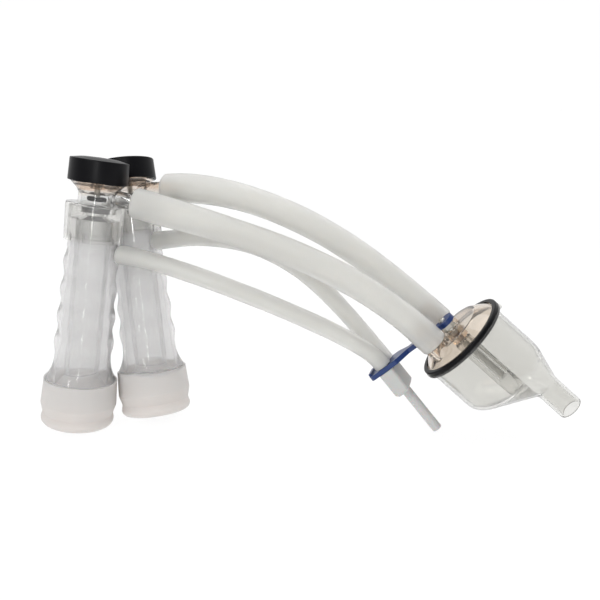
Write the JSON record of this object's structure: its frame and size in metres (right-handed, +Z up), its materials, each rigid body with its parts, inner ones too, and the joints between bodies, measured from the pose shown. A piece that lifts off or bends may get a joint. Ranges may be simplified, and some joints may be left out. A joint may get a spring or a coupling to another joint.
{
  "type": "milking cluster",
  "caption": "Teat cup cluster for small ruminants: upright cups with push valves, milk and pulse tubes, a small clear claw and a bracket with a pulse Y piece.",
  "frame": {"origin": "floor point under the middle of the cluster's bounding box", "axes": "+Z up from the floor; +X from the teat cups towards the claw's outlet; +Y away from the viewer, towards the rear cup"},
  "size_m": [0.3867, 0.1114, 0.196],
  "materials": {
    "liner_silicone": "translucent milky silicone",
    "shell_clear": "clear polycarbonate",
    "collar_clear": "clear polycarbonate",
    "valve_amber": "amber-tinted clear plastic",
    "rubber_black": "matt",
    "steel": "turned",
    "guide_clear": "amber-tinted clear plastic",
    "tube_silicone": "translucent milky silicone",
    "bowl_clear": "clear polycarbonate",
    "dome_amber": "amber-tinted clear plastic",
    "bracket_blue": "moulded blue",
    "manifold_grey": "moulded pale grey"
  },
  "bodies": {
    "claw": {"claw_bowl": "bowl_clear", "claw_dome": "dome_amber", "claw_seal": "rubber_black", "tie_bolt": "steel", "tie_washer": "steel", "tie_nut": "steel", "hanger_bracket": "bracket_blue", "pulse_manifold": "manifold_grey", "left_milk_tube": "tube_silicone", "right_milk_tube": "tube_silicone", "left_pulse_tube": "tube_silicone", "right_pulse_tube": "tube_silicone"},
    "left_cup": {"left_liner": "liner_silicone", "left_shell": "shell_clear", "left_valve_body": "valve_amber", "left_valve_seat": "rubber_black", "left_stem_guide": "guide_clear", "left_stem_seal": "rubber_black", "left_valve_cap": "rubber_black"},
    "left_collar_ring": {"left_collar": "collar_clear"},
    "left_valve": {"left_valve_plunger": "rubber_black", "left_valve_stem": "steel"},
    "right_cup": {"right_liner": "liner_silicone", "right_shell": "shell_clear", "right_valve_body": "valve_amber", "right_valve_seat": "rubber_black", "right_stem_guide": "guide_clear", "right_stem_seal": "rubber_black", "right_valve_cap": "rubber_black"},
    "right_collar_ring": {"right_collar": "collar_clear"},
    "right_valve": {"right_valve_plunger": "rubber_black", "right_valve_stem": "steel"}
  },
  "joints": [
    {"name": "left_cup_swing", "type": "hinge", "parent": "claw", "child": "left_cup", "pos_m": [0.09602, -0.01999, 0.08006], "axis": [0, 0, 1], "range_deg": [0, 25], "deforming": ["left_milk_tube", "left_pulse_tube"]},
    {"name": "right_cup_swing", "type": "hinge", "parent": "claw", "child": "right_cup", "pos_m": [0.09602, -0.01999, 0.08006], "axis": [0, 0, 1], "range_deg": [-25, 0], "deforming": ["right_milk_tube", "right_pulse_tube"]},
    {"name": "left_collar_twist", "type": "hinge", "parent": "left_cup", "child": "left_collar_ring", "pos_m": [-0.14987, -0.00821, 0.13667], "axis": [0.1447, 0.0166, 0.9893], "range_deg": [0, 30]},
    {"name": "left_valve_push", "type": "slide", "parent": "left_cup", "child": "left_valve", "axis": [-0.1447, -0.0166, -0.9893], "range_m": [0, 0.004], "stiffness_N_per_m": 400, "deforming": ["left_valve_cap"]},
    {"name": "right_collar_twist", "type": "hinge", "parent": "right_cup", "child": "right_collar_ring", "pos_m": [-0.129, 0.02804, 0.13663], "axis": [-0.1082, 0.1495, 0.9828], "range_deg": [0, 30]},
    {"name": "right_valve_push", "type": "slide", "parent": "right_cup", "child": "right_valve", "axis": [0.1082, -0.1495, -0.9828], "range_m": [0, 0.004], "stiffness_N_per_m": 400, "deforming": ["right_valve_cap"]}
  ]
}
